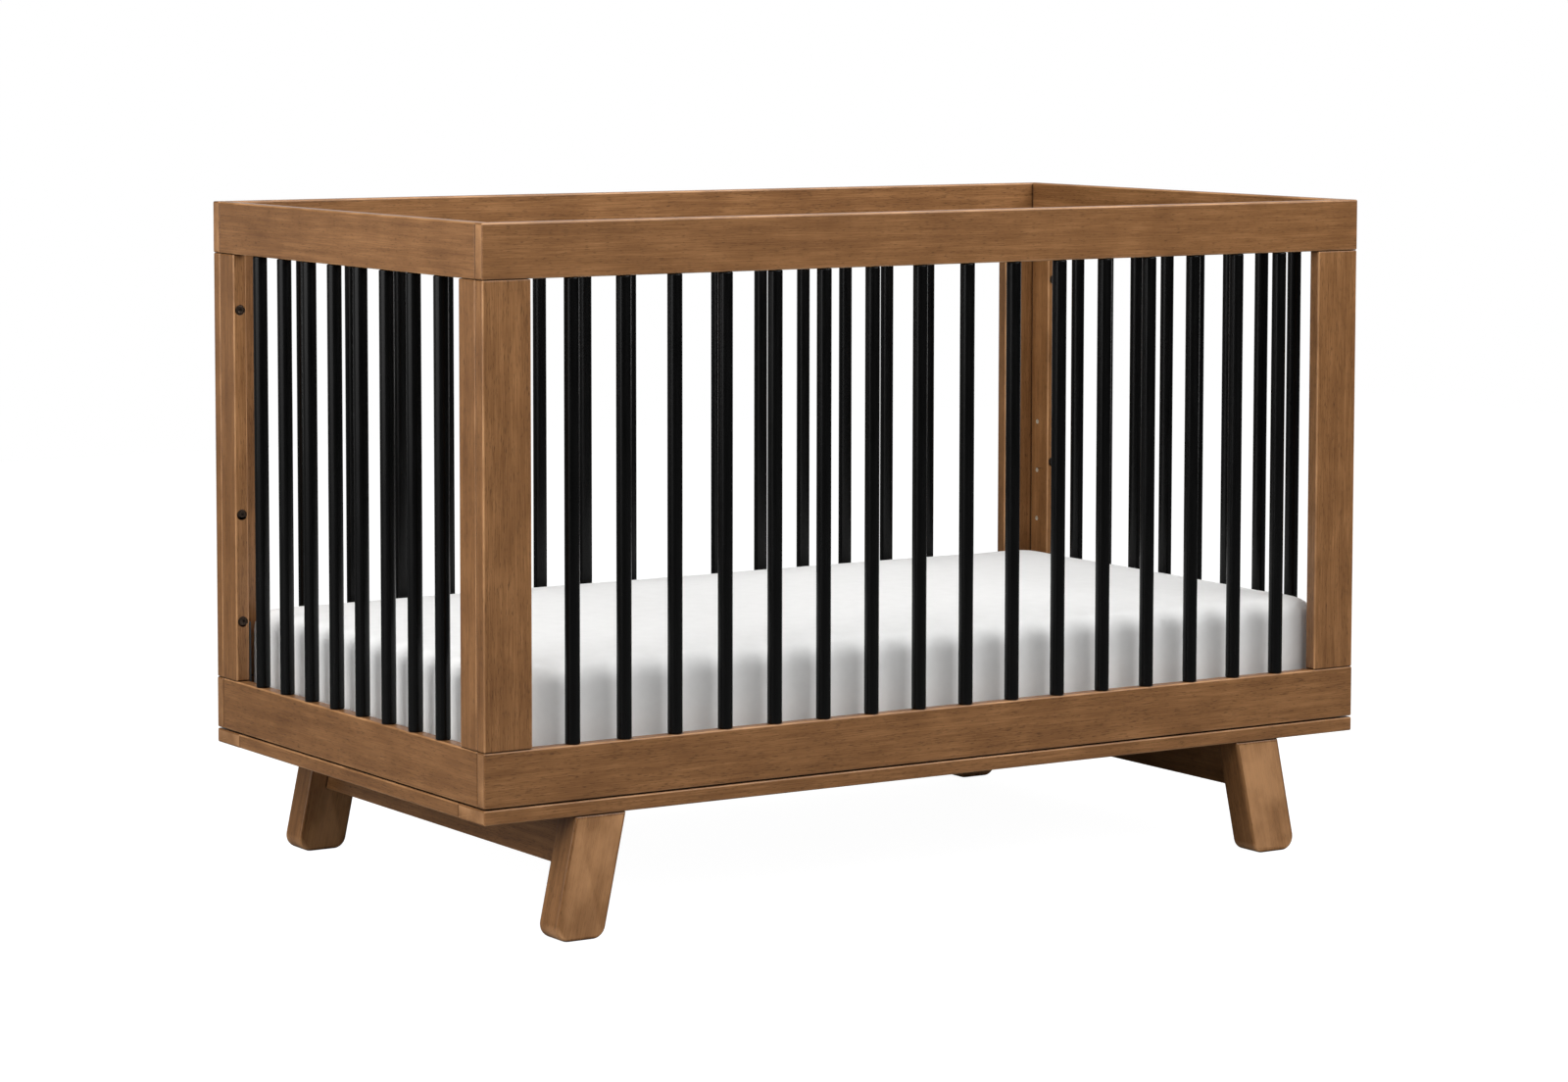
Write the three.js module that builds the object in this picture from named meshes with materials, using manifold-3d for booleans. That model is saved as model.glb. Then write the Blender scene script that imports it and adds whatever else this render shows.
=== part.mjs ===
// Full-size baby crib: four slatted panels bolted at the corners, a flat base frame on splayed legs,
// and a height-adjustable mattress support that carries a mattress in a fitted sheet.
// Millimetres, +Z up. The origin is on the floor under the centre. The front faces -Y.
import * as THREE from "three";
import { mergeVertices } from "three/addons/utils/BufferGeometryUtils.js";
import Module from "manifold-3d";

const wasm = await Module();
wasm.setup();

// Overall size
const length = 1365;
const width = 750;
const panelHeight = 713.5;

// Panels
const boardThickness = 19;
const boardEdgeRadius = 2.5;
const topRailHeight = 69;
const bottomRailHeight = 69;
const postWidth = 67.5;
const stileWidth = 42;
const buttGap = 0.3;

// Spindles
const spindleDiameter = 19;
const spindleEndMargin = 61.5; // from a post's edge to the middle of the first spindle
const spindleMaxPitch = 74.5; // keeps the gap between two spindles under 60
const tenonDiameter = 12;
const tenonLength = 12;
const socketClearance = 0.4;
const tieStripWidth = 9;
const tieStripHeight = 9;
const tieStripOverhang = 12; // past the first and last spindle that the strip joins
const grooveClearance = 0.3;

// Base frame and legs
const shadowGap = 1.5; // between the panels and the base frame
const baseBoardWidth = 68;
const baseThickness = 19;
const legHeight = 156;
const legWidth = 70.5; // square to the leg's slope
const legThickness = 43;
const legSplay = THREE.MathUtils.degToRad(12);
const legEndInset = 129; // from the crib's end to the top of the leg
const legFaceInset = 1;
const legCornerRadius = 18;
const stretcherHeight = 71;
const stretcherThickness = 19;

// Bolts
const cornerBoltHeights = { top: 569.5, middle: 294.5, bottom: 150 }; // above the panel's lower edge
const boltShankRadius = 3;
const boltHeadRadius = 6.5;
const boltHeadHeight = 3.4;
const boltSocketRadius = 2.9;
const boltSocketDepth = 2;
const boltClearance = 0.35;
const boltBite = 14; // how deep a bolt reaches into the piece it holds
const legBoltReach = 50;
const legBoltFaceInset = 31;

// Mattress levels
const levelPitch = 73.4;
const levelCount = 4;
const lowestLevel = 133.5; // above the panel's lower edge
const levelInset = 15.5; // from the long panel's inner face
const neckLength = 3.8;

// Mattress support
const deckTopAbovePanel = 13.5; // above the panel's lower edge
const deckBarHeight = 10;
const deckBarWidth = 12;
const deckSideGap = 8;
const wireSize = 4;
const wireOverlap = 0.5;
const wireMaxPitch = 135;
const strapThickness = 2.5;
const strapWidth = 22;
const strapStandOff = 0.5;
const hookSideClearance = 0.5; // each side of the bolt
const hookLipWidth = 5;
const hookLipDrop = 7;
const hookHeight = 12;
const hookSeatGap = 0.3;
const footLength = 30;

// Mattress and sheet
const mattressEndGap = 9.5; // to the end panels' inner faces
const mattressSideGap = 11; // to the long panels' inner faces
const mattressThickness = 138;
const mattressCornerRadius = 45;
const mattressEdgeRadius = 26;
const sheetThickness = 1.5;
const sheetClearance = 0.5;
const sheetTuck = 70; // how far the sheet's hem reaches in under the mattress
const restGap = 0.3;

// Places that follow from the sizes above
const baseTop = legHeight + baseThickness;
const panelBottom = baseTop + shadowGap;
const panelTop = panelBottom + panelHeight;
const halfLength = length / 2;
const halfWidth = width / 2;
const innerX = halfLength - boardThickness;
const innerY = halfWidth - boardThickness;
const uprightHeight = panelHeight - topRailHeight - bottomRailHeight - 2 * buttGap;
const uprightMiddle = panelBottom + bottomRailHeight + buttGap + uprightHeight / 2;
const topRailMiddle = panelTop - topRailHeight / 2;
const bottomRailMiddle = panelBottom + bottomRailHeight / 2;

const walnutWood = { color: 0x80583a, roughness: 0.45, metalness: 0 };
const blackPaint = { color: 0x141412, roughness: 0.4, metalness: 0 };
const blackSteel = { color: 0x1c1c1d, roughness: 0.5, metalness: 0.6 };
const bronzeSteel = { color: 0x2e2620, roughness: 0.4, metalness: 0.9 };
const mattressCloth = { color: 0xe6e4df, roughness: 0.9, metalness: 0 };
const sheetCloth = { color: 0xf0f0ef, roughness: 0.95, metalness: 0 };

const crib = new THREE.Group();
const frame = new THREE.Group();
const support = new THREE.Group();
const bedding = new THREE.Group();
crib.add(frame, support, bedding);

// Closed geometry to a solid, and back
function toSolid(geometry) {
  const bare = geometry.index ? geometry.toNonIndexed() : geometry.clone();
  bare.deleteAttribute("normal");
  bare.deleteAttribute("uv");
  const merged = mergeVertices(bare, 1e-4);
  return new wasm.Manifold(
    new wasm.Mesh({
      numProp: 3,
      vertProperties: merged.attributes.position.array,
      triVerts: new Uint32Array(merged.index.array),
    }),
  );
}

function toGeometry(solid) {
  const mesh = solid.getMesh();
  const geometry = new THREE.BufferGeometry();
  geometry.setAttribute("position", new THREE.BufferAttribute(mesh.vertProperties, 3));
  geometry.setIndex(new THREE.BufferAttribute(mesh.triVerts, 1));
  geometry.computeVertexNormals();
  return geometry;
}

function addPiece(group, name, shape, finish) {
  const geometry = shape.isBufferGeometry ? shape : toGeometry(shape);
  const mesh = new THREE.Mesh(geometry, new THREE.MeshStandardMaterial(finish));
  mesh.name = name;
  group.add(mesh);
  return mesh;
}

// Rectangle with round corners, centred on the origin
function roundedOutline(sizeX, sizeY, radius) {
  const x = sizeX / 2;
  const y = sizeY / 2;
  const outline = new THREE.Shape();
  outline.absarc(x - radius, y - radius, radius, 0, Math.PI / 2);
  outline.absarc(-x + radius, y - radius, radius, Math.PI / 2, Math.PI);
  outline.absarc(-x + radius, -y + radius, radius, Math.PI, Math.PI * 1.5);
  outline.absarc(x - radius, -y + radius, radius, Math.PI * 1.5, Math.PI * 2);
  outline.closePath();
  return outline;
}

// Board with eased long edges, running along one axis, centred on the given point
function board(size, centre, along) {
  const [sizeX, sizeY, sizeZ] = size;
  const sections = {
    x: [sizeZ, sizeY, sizeX],
    y: [sizeX, sizeZ, sizeY],
    z: [sizeX, sizeY, sizeZ],
  };
  const [a, b, run] = sections[along];
  const outline = roundedOutline(a, b, boardEdgeRadius);
  const geometry = new THREE.ExtrudeGeometry(outline, {
    depth: run,
    bevelEnabled: false,
    curveSegments: 2,
  });
  geometry.translate(0, 0, -run / 2);
  if (along === "x") geometry.rotateY(Math.PI / 2);
  if (along === "y") geometry.rotateX(Math.PI / 2);
  return toSolid(geometry.translate(...centre));
}

function block(size, centre) {
  return toSolid(new THREE.BoxGeometry(...size).translate(...centre));
}

// Rod along one axis from start to end, with the other two coordinates given by the centre
function rod(radius, along, start, end, centre, sides = 10) {
  const geometry = new THREE.CylinderGeometry(radius, radius, Math.abs(end - start), sides);
  if (along === "x") geometry.rotateZ(Math.PI / 2);
  if (along === "z") geometry.rotateX(Math.PI / 2);
  const middle = [...centre];
  middle["xyz".indexOf(along)] = (start + end) / 2;
  return toSolid(geometry.translate(...middle));
}

// Places of the spindles between two uprights, evenly spread about zero
function spindlePlaces(opening) {
  const span = opening - 2 * spindleEndMargin;
  const gaps = Math.ceil(span / spindleMaxPitch);
  return Array.from({ length: gaps + 1 }, (_, i) => -span / 2 + (i * span) / gaps);
}

// One panel: two rails, and the spindles between them. The spindles hang in sets, each from a strip that
// lies in a groove under the top rail, and their tenons stand in sockets in the bottom rail.
function addPanel(side, along, railLength, opening, centre, setNames) {
  const place = (run, z) => (along === "x" ? [run, centre[1], z] : [centre[0], run, z]);
  const size = (run, across, z) => (along === "x" ? [run, across, z] : [across, run, z]);

  const grooveFloor = panelTop - topRailHeight + tieStripHeight + grooveClearance;
  const stripTop = grooveFloor - grooveClearance;
  const railUnderside = panelTop - topRailHeight;
  const railUpperside = panelBottom + bottomRailHeight;
  const grooveCutDepth = grooveFloor - railUnderside + 1;

  const groove = block(
    size(opening, tieStripWidth + 2 * grooveClearance, grooveCutDepth),
    place(0, grooveFloor - grooveCutDepth / 2),
  );
  const topRail = board(size(railLength, boardThickness, topRailHeight), place(0, topRailMiddle), along);
  addPiece(frame, `${side}_top_rail`, topRail.subtract(groove), walnutWood);

  let bottomRail = board(
    size(railLength, boardThickness, bottomRailHeight),
    place(0, bottomRailMiddle),
    along,
  );
  const socketRadius = tenonDiameter / 2 + socketClearance;
  const socketFloor = railUpperside - tenonLength - socketClearance;
  const spindleProfile = [
    new THREE.Vector2(0, railUpperside - tenonLength),
    new THREE.Vector2(tenonDiameter / 2, railUpperside - tenonLength),
    new THREE.Vector2(tenonDiameter / 2, railUpperside + buttGap),
    new THREE.Vector2(spindleDiameter / 2, railUpperside + buttGap),
    new THREE.Vector2(spindleDiameter / 2, railUnderside - buttGap),
    new THREE.Vector2(tieStripWidth * 0.4, railUnderside - buttGap),
    new THREE.Vector2(tieStripWidth * 0.4, railUnderside + tieStripHeight / 2),
    new THREE.Vector2(0, railUnderside + tieStripHeight / 2),
  ];
  const places = spindlePlaces(opening);
  const perSet = Math.ceil(places.length / setNames.length);
  setNames.forEach((name, i) => {
    const members = places.slice(i * perSet, (i + 1) * perSet);
    const first = members[0] - tieStripOverhang;
    const last = members.at(-1) + tieStripOverhang;
    let set = block(
      size(last - first, tieStripWidth, tieStripHeight),
      place((first + last) / 2, stripTop - tieStripHeight / 2),
    );
    for (const run of members) {
      const [x, y] = place(run, 0);
      const spindle = new THREE.LatheGeometry(spindleProfile, 10).rotateX(Math.PI / 2);
      set = set.add(toSolid(spindle.translate(x, y, 0)));
      const socket = rod(socketRadius, "z", socketFloor, railUpperside + 1, [x, y, 0]);
      bottomRail = bottomRail.subtract(socket);
    }
    addPiece(frame, name, set, blackPaint);
  });
  addPiece(frame, `${side}_bottom_rail`, bottomRail, walnutWood);
}

const postOpening = length - 2 * postWidth;
const stileOpening = width - 2 * (boardThickness + buttGap + stileWidth);
const endRailLength = width - 2 * (boardThickness + buttGap);
const sides = { front: -1, back: 1 };
const ends = { left: -1, right: 1 };

for (const [side, sy] of Object.entries(sides)) {
  const centre = [0, sy * (halfWidth - boardThickness / 2), 0];
  const setNames = [`${side}_spindles_left`, `${side}_spindles_right`];
  addPanel(side, "x", length, postOpening, centre, setNames);
}
for (const [end, sx] of Object.entries(ends)) {
  const centre = [sx * (halfLength - boardThickness / 2), 0, 0];
  addPanel(end, "y", endRailLength, stileOpening, centre, [`${end}_spindles`]);
}

// Socket-head bolt: head facing +Z at the origin, shank going down -Z
function boltSolid(shankLength) {
  const axis = [0, 0, 0];
  const head = rod(boltHeadRadius, "z", 0, boltHeadHeight, axis, 12);
  const socketFloor = boltHeadHeight - boltSocketDepth;
  const socket = rod(boltSocketRadius, "z", socketFloor, boltHeadHeight + 1, axis, 6);
  const shank = rod(boltShankRadius, "z", -shankLength, 0.5, axis, 8);
  return head.subtract(socket).add(shank);
}

// Turns a bolt so that its head faces the given axis direction, and moves it to its seat
function addBolt(name, solid, seat, facing) {
  const mesh = addPiece(frame, name, solid, bronzeSteel);
  mesh.position.set(...seat);
  mesh.quaternion.setFromUnitVectors(new THREE.Vector3(0, 0, 1), new THREE.Vector3(...facing));
  return mesh;
}

const stileMiddleY = innerY - buttGap - stileWidth / 2;
const stileInnerY = innerY - buttGap - stileWidth;
const counterbore = boltHeadHeight + boltClearance;
const holeRadius = boltShankRadius + boltClearance;
const headHoleRadius = boltHeadRadius + boltClearance;
const levels = Array.from({ length: levelCount }, (_, i) => panelBottom + lowestLevel + i * levelPitch);
const levelY = innerY - levelInset;

for (const [side, sy] of Object.entries(sides)) {
  for (const [end, sx] of Object.entries(ends)) {
    const postX = sx * (halfLength - postWidth / 2);
    const postY = sy * (halfWidth - boardThickness / 2);
    const stileX = sx * (halfLength - boardThickness / 2);
    let post = board([postWidth, boardThickness, uprightHeight], [postX, postY, uprightMiddle], "z");
    let stile = board(
      [boardThickness, stileWidth, uprightHeight],
      [stileX, sy * stileMiddleY, uprightMiddle],
      "z",
    );
    const seatY = sy * (stileInnerY + counterbore);
    const headHoleEnd = seatY + sy * boltClearance;
    const shankLength = innerY + boltBite - (stileInnerY + counterbore);
    const boltMouth = sy * (stileInnerY - 1);
    const holeEnd = innerY + boltBite + boltClearance;
    for (const [level, rise] of Object.entries(cornerBoltHeights)) {
      const at = [stileX, 0, panelBottom + rise];
      const hole = rod(holeRadius, "y", boltMouth, sy * holeEnd, at, 8);
      const headHole = rod(headHoleRadius, "y", boltMouth, headHoleEnd, at, 12);
      post = post.subtract(hole);
      stile = stile.subtract(hole).subtract(headHole);
      addBolt(
        `corner_bolt_${side}_${end}_${level}`,
        boltSolid(shankLength),
        [stileX, seatY, panelBottom + rise],
        [0, -sy, 0],
      );
    }
    const levelHoleEnd = innerX + boltBite + boltClearance;
    for (const z of levels) {
      const bore = rod(holeRadius, "x", sx * (innerX - 1), sx * levelHoleEnd, [0, sy * levelY, z], 8);
      stile = stile.subtract(bore);
    }
    addPiece(frame, `${side}_${end}_post`, post, walnutWood);
    addPiece(frame, `${end}_${side}_stile`, stile, walnutWood);
    addBolt(
      `support_bolt_${side}_${end}`,
      boltSolid(boltBite + neckLength),
      [sx * (innerX - neckLength), sy * levelY, levels[0]],
      [-sx, 0, 0],
    );
  }
}

// Base frame: the front and back boards run the full length, the end boards lie between them
const baseMiddle = legHeight + baseThickness / 2;
const endBoardLength = width - 2 * (baseBoardWidth + buttGap);
const legTopOuter = halfLength - legEndInset;
const legTopInner = legTopOuter - legWidth / Math.cos(legSplay);
const legTopMiddle = (legTopOuter + legTopInner) / 2;
const lean = Math.tan(legSplay);
const legBoltY = halfWidth - legBoltFaceInset;
const legBoltSeat = baseTop - counterbore;
const legBoltEnd = legBoltSeat - legBoltReach;

for (const [side, sy] of Object.entries(sides)) {
  let plank = board(
    [length, baseBoardWidth, baseThickness],
    [0, sy * (halfWidth - baseBoardWidth / 2), baseMiddle],
    "x",
  );
  for (const sx of Object.values(ends)) {
    const at = [sx * legTopMiddle, sy * legBoltY, 0];
    plank = plank
      .subtract(rod(holeRadius, "z", legHeight - 1, baseTop + 1, at, 8))
      .subtract(rod(headHoleRadius, "z", legBoltSeat - boltClearance, baseTop + 1, at, 12));
  }
  addPiece(frame, `base_${side}_board`, plank, walnutWood);
}
for (const [end, sx] of Object.entries(ends)) {
  const plank = board(
    [baseBoardWidth, endBoardLength, baseThickness],
    [sx * (halfLength - baseBoardWidth / 2), 0, baseMiddle],
    "y",
  );
  addPiece(frame, `base_${end}_board`, plank, walnutWood);
}

// Adds a corner to a path as an arc that touches the lines to the points before and after it
function roundCorner(path, before, corner, after, radius) {
  const back = before.clone().sub(corner).normalize();
  const ahead = after.clone().sub(corner).normalize();
  const halfAngle = Math.acos(back.dot(ahead)) / 2;
  const toCentre = back.clone().add(ahead).normalize();
  const centre = corner.clone().addScaledVector(toCentre, radius / Math.sin(halfAngle));
  const start = corner.clone().addScaledVector(back, radius / Math.tan(halfAngle)).sub(centre);
  const end = corner.clone().addScaledVector(ahead, radius / Math.tan(halfAngle)).sub(centre);
  const clockwise = start.cross(end) < 0;
  path.absarc(centre.x, centre.y, radius, start.angle(), end.angle(), clockwise);
}

// Leg: a board on its slope, with round lower corners and eased front and back edges
function legSolid(sx, sy) {
  const top = legHeight - buttGap;
  const outer = (z) => sx * (legTopOuter + (legHeight - z) * lean);
  const inner = (z) => sx * (legTopInner + (legHeight - z) * lean);
  const topOuter = new THREE.Vector2(outer(top), top);
  const topInner = new THREE.Vector2(inner(top), top);
  const footOuter = new THREE.Vector2(outer(0), 0);
  const footInner = new THREE.Vector2(inner(0), 0);
  const outline = new THREE.Shape();
  outline.moveTo(topInner.x, topInner.y);
  outline.lineTo(topOuter.x, topOuter.y);
  roundCorner(outline, topOuter, footOuter, footInner, legCornerRadius);
  roundCorner(outline, footOuter, footInner, topInner, legCornerRadius);
  outline.closePath();
  const geometry = new THREE.ExtrudeGeometry(outline, {
    depth: legThickness - 2 * boardEdgeRadius,
    bevelThickness: boardEdgeRadius,
    bevelSize: boardEdgeRadius,
    bevelOffset: -boardEdgeRadius,
    bevelSegments: 2,
    curveSegments: 5,
  });
  geometry.translate(0, 0, boardEdgeRadius - legThickness / 2).rotateX(Math.PI / 2);
  return toSolid(geometry.translate(0, sy * (halfWidth - legFaceInset - legThickness / 2), 0));
}

for (const [end, sx] of Object.entries(ends)) {
  for (const [side, sy] of Object.entries(sides)) {
    const at = [sx * legTopMiddle, sy * legBoltY, 0];
    const bore = rod(holeRadius, "z", legBoltEnd - boltClearance, legHeight + 1, at, 8);
    addPiece(frame, `${side}_${end}_leg`, legSolid(sx, sy).subtract(bore), walnutWood);
    addBolt(`leg_bolt_${side}_${end}`, boltSolid(legBoltReach), [at[0], at[1], legBoltSeat], [0, 0, 1]);
  }
  // Stretcher: a board on the legs' slope, between the front and back leg
  const stretcherTop = legHeight - buttGap;
  const halfWide = stretcherThickness / Math.cos(legSplay) / 2;
  const middleAt = (z) => legTopMiddle + (legHeight - z) * lean;
  const outline = new THREE.Shape(
    [
      [-halfWide, stretcherTop],
      [halfWide, stretcherTop],
      [halfWide, stretcherTop - stretcherHeight],
      [-halfWide, stretcherTop - stretcherHeight],
    ].map(([across, z]) => new THREE.Vector2(sx * (middleAt(z) + across), z)),
  );
  const run = width - 2 * (legFaceInset + legThickness + buttGap);
  const stretcher = new THREE.ExtrudeGeometry(outline, { depth: run, bevelEnabled: false });
  addPiece(
    frame,
    `${end}_stretcher`,
    toSolid(stretcher.translate(0, 0, -run / 2).rotateX(Math.PI / 2)),
    walnutWood,
  );
}

// Mattress support: a steel frame with a welded wire grid, hung from the support bolts by four straps
const deckTop = panelBottom + deckTopAbovePanel;
const deckBottom = deckTop - deckBarHeight;
const strapOuterX = innerX - strapStandOff;
const deckHalfX = strapOuterX - strapThickness - buttGap;
const deckHalfY = innerY - deckSideGap;

function wirePlaces(half) {
  const count = Math.ceil((2 * half) / wireMaxPitch);
  return Array.from({ length: count - 1 }, (_, i) => -half + ((i + 1) * 2 * half) / count);
}

const clearX = deckHalfX - deckBarWidth;
const clearY = deckHalfY - deckBarWidth;
const barMiddle = (deckTop + deckBottom) / 2;
const weldIn = 1;
let deck = block([2 * deckHalfX, 2 * deckHalfY, deckBarHeight], [0, 0, barMiddle]).subtract(
  block([2 * clearX, 2 * clearY, deckBarHeight + 2], [0, 0, barMiddle]),
);
for (const x of wirePlaces(clearX)) {
  const wire = block([wireSize, 2 * (clearY + weldIn), wireSize], [x, 0, deckTop - wireSize / 2]);
  deck = deck.add(wire);
}
for (const y of wirePlaces(clearY)) {
  const z = deckTop - wireSize * 1.5 + wireOverlap;
  deck = deck.add(block([2 * (clearX + weldIn), wireSize, wireSize], [0, y, z]));
}
addPiece(support, "mattress_support", deck, blackSteel);

// Each hanger is a strap beside its bolt, a hook that goes over the bolt's neck, and a foot under the frame
const hookSeat = levels[0] + boltShankRadius + hookSeatGap;
const hookNotch = 2 * (boltShankRadius + hookSideClearance);
const hookTop = hookSeat + hookHeight;
const lipBottom = hookSeat - hookLipDrop;
const lipStart = levelY + hookNotch / 2;
const lipEnd = lipStart + hookLipWidth;
const strapInnerX = strapOuterX - strapThickness;
const strapEdge = levelY - hookNotch / 2;
const strapBack = strapEdge - strapWidth;
const footTop = deckBottom - buttGap;
const footBottom = footTop - strapThickness;
const footEnd = strapInnerX - footLength;

// Block between two corners, mirrored into the quarter of the crib that the signs name
function quarterBlock(sx, sy, low, high) {
  const size = low.map((value, i) => high[i] - value);
  const middle = low.map((value, i) => (value + high[i]) / 2);
  return block(size, [sx * middle[0], sy * middle[1], middle[2]]);
}

for (const [side, sy] of Object.entries(sides)) {
  for (const [end, sx] of Object.entries(ends)) {
    const cut = (low, high) => quarterBlock(sx, sy, low, high);
    const strap = cut([strapInnerX, strapBack, footBottom], [strapOuterX, strapEdge, hookTop]);
    const hook = cut([strapInnerX, strapEdge - weldIn, hookSeat], [strapOuterX, lipEnd, hookTop]);
    const lip = cut([strapInnerX, lipStart, lipBottom], [strapOuterX, lipEnd, hookSeat + weldIn]);
    const foot = cut([footEnd, strapBack, footBottom], [strapInnerX + weldIn, strapEdge, footTop]);
    addPiece(support, `hanger_${side}_${end}`, strap.add(hook).add(lip).add(foot), blackSteel);
  }
}

// Mattress, and the fitted sheet that wraps over it and tucks in underneath
const mattressBottom = deckTop + restGap + sheetThickness + sheetClearance;

// Box with round upright corners and round edges, grown on all sides from the mattress's own size
function mattressSolid(grown) {
  const sizeX = 2 * (innerX - mattressEndGap + grown);
  const sizeY = 2 * (innerY - mattressSideGap + grown);
  const edge = mattressEdgeRadius + grown;
  const geometry = new THREE.ExtrudeGeometry(roundedOutline(sizeX, sizeY, mattressCornerRadius + grown), {
    depth: mattressThickness + 2 * grown - 2 * edge,
    bevelThickness: edge,
    bevelSize: edge,
    bevelOffset: -edge,
    bevelSegments: 3,
    curveSegments: 4,
  });
  return toSolid(geometry.translate(0, 0, mattressBottom - grown + edge));
}

addPiece(bedding, "mattress", mattressSolid(0), mattressCloth);
const hemOpening = block(
  [2 * (innerX - mattressEndGap - sheetTuck), 2 * (innerY - mattressSideGap - sheetTuck), mattressThickness],
  [0, 0, mattressBottom],
);
addPiece(
  bedding,
  "fitted_sheet",
  mattressSolid(sheetClearance + sheetThickness).subtract(mattressSolid(sheetClearance)).subtract(hemOpening),
  sheetCloth,
);

export default crib;
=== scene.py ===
import math

import bpy
import numpy as np
from mathutils import Matrix, Vector


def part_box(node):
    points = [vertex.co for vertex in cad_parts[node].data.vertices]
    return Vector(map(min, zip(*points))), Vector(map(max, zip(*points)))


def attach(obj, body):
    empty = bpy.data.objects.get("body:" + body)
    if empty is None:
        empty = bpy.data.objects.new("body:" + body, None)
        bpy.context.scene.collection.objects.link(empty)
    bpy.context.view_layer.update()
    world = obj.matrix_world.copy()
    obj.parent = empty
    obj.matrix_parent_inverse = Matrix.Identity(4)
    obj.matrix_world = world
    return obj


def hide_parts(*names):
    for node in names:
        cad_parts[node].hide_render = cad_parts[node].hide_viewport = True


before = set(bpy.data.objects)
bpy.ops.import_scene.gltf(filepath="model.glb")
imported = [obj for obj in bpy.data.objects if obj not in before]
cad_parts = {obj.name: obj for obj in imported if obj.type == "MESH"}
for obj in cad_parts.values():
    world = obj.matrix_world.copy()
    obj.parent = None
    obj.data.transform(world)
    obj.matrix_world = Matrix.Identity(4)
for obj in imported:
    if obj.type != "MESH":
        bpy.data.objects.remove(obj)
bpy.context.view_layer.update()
scene = bpy.context.scene
mm = 0.001
sides = {"front": -1, "back": 1}
ends = {"left": -1, "right": 1}
print("frame loaded:", len(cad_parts), "nodes")


def colour(hexCode, alpha=1.0):
    # sRGB hex to linear, by the sRGB transfer curve
    parts = [int(hexCode[i:i + 2], 16) / 255 for i in (1, 3, 5)]
    return [c / 12.92 if c <= 0.04045 else ((c + 0.055) / 1.055) ** 2.4 for c in parts] + [alpha]


def addNode(tree, kind, links=None, **settings):
    # links: socket name or number -> a plain value, or the output socket that feeds it
    node = tree.nodes.new(kind)
    for key, value in settings.items():
        setattr(node, key, value)
    for key, value in (links or {}).items():
        socket = node.inputs[key]
        if isinstance(value, bpy.types.NodeSocket):
            tree.links.new(value, socket)
        else:
            socket.default_value = value
    return node


def newMaterial(name):
    # the material, its node tree and its shader
    material = bpy.data.materials.new(name)
    material.use_nodes = True
    tree = material.node_tree
    return material, tree, tree.nodes["Principled BSDF"]


def setRamp(node, stops):
    # stops: (place, hex colour)
    ramp = node.color_ramp
    while len(ramp.elements) > 1:
        ramp.elements.remove(ramp.elements[-1])
    ramp.elements[0].position, ramp.elements[0].color = stops[0][0], colour(stops[0][1])
    for place, hexCode in stops[1:]:
        ramp.elements.new(place).color = colour(hexCode)


def rings(count, around, start=0, loopBack=False):
    # quads between neighbouring rings of a count x around grid of points, wrapped round each ring
    i = np.arange(count if loopBack else count - 1)[:, None]
    k = np.arange(around)[None, :]
    nextI, nextK = (i + 1) % count, (k + 1) % around
    quads = [i * around + k, i * around + nextK, nextI * around + nextK, nextI * around + k]
    return start + np.stack(quads, -1).reshape(-1, 4)


class Shape:
    # collects closed shells for one mesh, each with its points, its faces, its grain coordinates and how
    # far each point lies on an eased edge, 0 to 1
    def __init__(self):
        self.points, self.faces, self.grain, self.ease, self.count = [], [], [], [], 0

    def add(self, points, faces, grain=None, ease=None):
        flat = np.asarray(points, float).reshape(-1, 3)
        self.points.append(flat)
        self.grain.append(flat if grain is None else np.asarray(grain, float).reshape(-1, 3))
        self.ease.append(np.zeros(len(flat)) if ease is None else np.asarray(ease, float).ravel())
        self.faces += [(np.asarray(f) + self.count).tolist() for f in faces]
        self.count += len(flat)

    def loft(self, points, grain=None, ease=None):
        # points: rings x around x 3, closed by a flat cap at both ends
        count, around = points.shape[:2]
        first = np.arange(around)
        self.add(points, [*rings(count, around), first[::-1], first + (count - 1) * around], grain, ease)

    def piece(self, name, material, body="crib_frame", replaces=(), sharp=38):
        mesh = bpy.data.meshes.new(name)
        points = np.concatenate(self.points)
        mesh.from_pydata(points.tolist(), [], self.faces)
        grain = mesh.attributes.new("grain", "FLOAT_VECTOR", "POINT")
        grain.data.foreach_set("vector", np.concatenate(self.grain).astype(np.float32).ravel())
        ease = mesh.attributes.new("ease", "FLOAT", "POINT")
        ease.data.foreach_set("value", np.concatenate(self.ease).astype(np.float32))
        mesh.materials.append(material)
        mesh.validate()
        mesh.shade_smooth()
        mesh.set_sharp_from_angle(angle=math.radians(sharp))
        item = bpy.data.objects.new(name, mesh)
        scene.collection.objects.link(item)
        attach(item, body)
        if replaces:
            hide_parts(*replaces)
        return item


walnut = {
    # the pale edge colour is partly thinned stain and partly a painted highlight
    "dark": "#6a4526", "middle": "#845b36", "light": "#a2744a", "pore": "#2e1b0c", "rubbedAndHighlit": "#d6a272",
    # the seam colour is painted shade for the joints
    "seamShade": "#2b190c",
    "ringWidth": 10,  # mm across the grain between early and late wood
    "fibreWidth": 1.4,  # mm; real fibres are finer, drawn as coarse as shows
    "poreWidth": 0.9,  # mm; drawn coarser than real pores too
    "blotch": 46,  # where the stain took unevenly
}


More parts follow.
